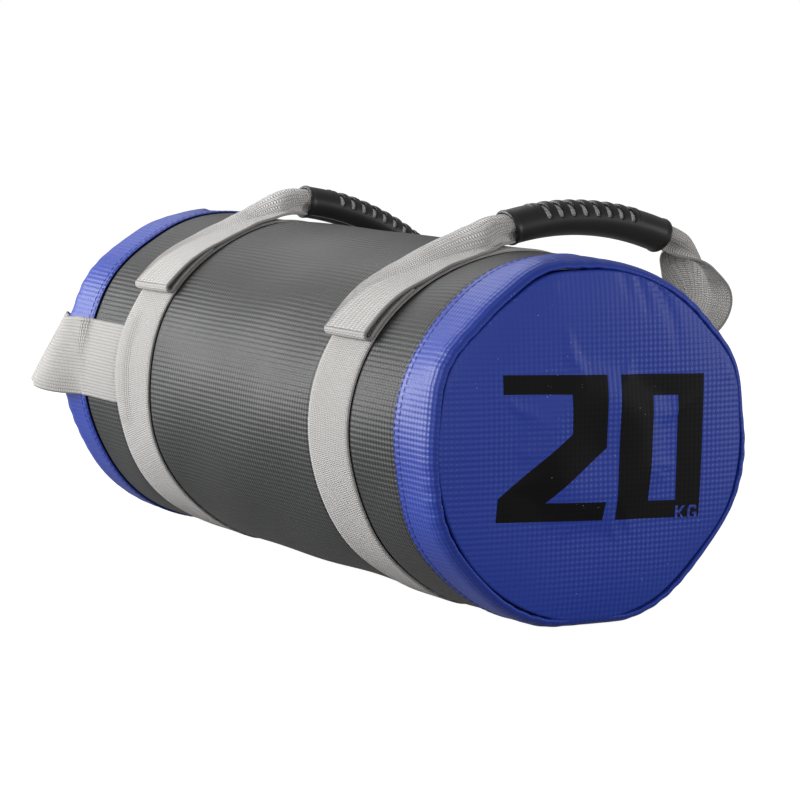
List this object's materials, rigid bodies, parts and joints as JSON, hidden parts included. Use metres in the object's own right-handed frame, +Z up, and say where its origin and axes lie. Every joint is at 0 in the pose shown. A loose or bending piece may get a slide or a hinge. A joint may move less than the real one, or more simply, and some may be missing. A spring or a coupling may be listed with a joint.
{
  "type": "filled power bag",
  "caption": "Sand-filled cylindrical training bag with webbing hoops, gripped carry handles on top and a webbing strap across one end.",
  "frame": {"origin": "on the floor, under the middle of the bag, at the centre of the flat that the filled bag rests on", "axes": "+X along the bag's axis towards the numbered end, +Z up, +Y towards the side that the handles have fallen to"},
  "size_m": [0.575, 0.2624, 0.2206],
  "materials": {
    "cover_fabric": "embossed dark grey PVC tarpaulin, soft sheen",
    "end_fabric": "embossed blue PVC tarpaulin, soft sheen",
    "webbing": "light grey woven webbing, matte",
    "grip_rubber": "moulded black rubber, satin",
    "foam": "closed-cell foam",
    "sack_fabric": "woven polypropylene",
    "tie_plastic": "matte",
    "sand": "dry sand"
  },
  "bodies": {
    "bag": {"cover_tube": "cover_fabric", "near_end_band": "end_fabric", "far_end_band": "end_fabric", "near_end_disc": "end_fabric", "far_end_disc": "end_fabric", "near_hoop": "webbing", "far_hoop": "webbing", "near_handle_front_tail": "webbing", "near_handle_back_tail": "webbing", "near_handle_back_leg": "webbing", "far_handle_front_tail": "webbing", "far_handle_back_tail": "webbing", "far_handle_back_leg": "webbing", "end_strap_front_tab": "webbing", "end_strap_back_tab": "webbing", "end_strap_front_leg": "webbing", "end_strap_back_leg": "webbing", "foam_wrap": "foam", "near_foam_disc": "foam", "far_foam_disc": "foam", "inner_sack": "sack_fabric", "sack_tie": "tie_plastic", "sand_fill": "sand"},
    "near_handle": {"near_handle_front_leg": "webbing", "near_handle_core": "webbing", "near_grip": "grip_rubber"},
    "far_handle": {"far_handle_front_leg": "webbing", "far_handle_core": "webbing", "far_grip": "grip_rubber"},
    "end_strap": {"end_strap_loop": "webbing"}
  },
  "joints": [
    {"name": "near_handle_lift", "type": "hinge", "parent": "bag", "child": "near_handle", "pos_m": [0.132, -0.0898, 0.15644], "axis": [1, 0, 0], "range_deg": [0, 26], "deforming": ["near_handle_back_leg"]},
    {"name": "far_handle_lift", "type": "hinge", "parent": "bag", "child": "far_handle", "pos_m": [-0.132, -0.08718, 0.16034], "axis": [1, 0, 0], "range_deg": [0, 40], "deforming": ["far_handle_back_leg"]},
    {"name": "end_strap_swing", "type": "hinge", "parent": "bag", "child": "end_strap", "pos_m": [-0.206, 0, 0.10797], "axis": [0, 1, 0], "range_deg": [-25, 25], "deforming": ["end_strap_front_leg", "end_strap_back_leg"]}
  ]
}
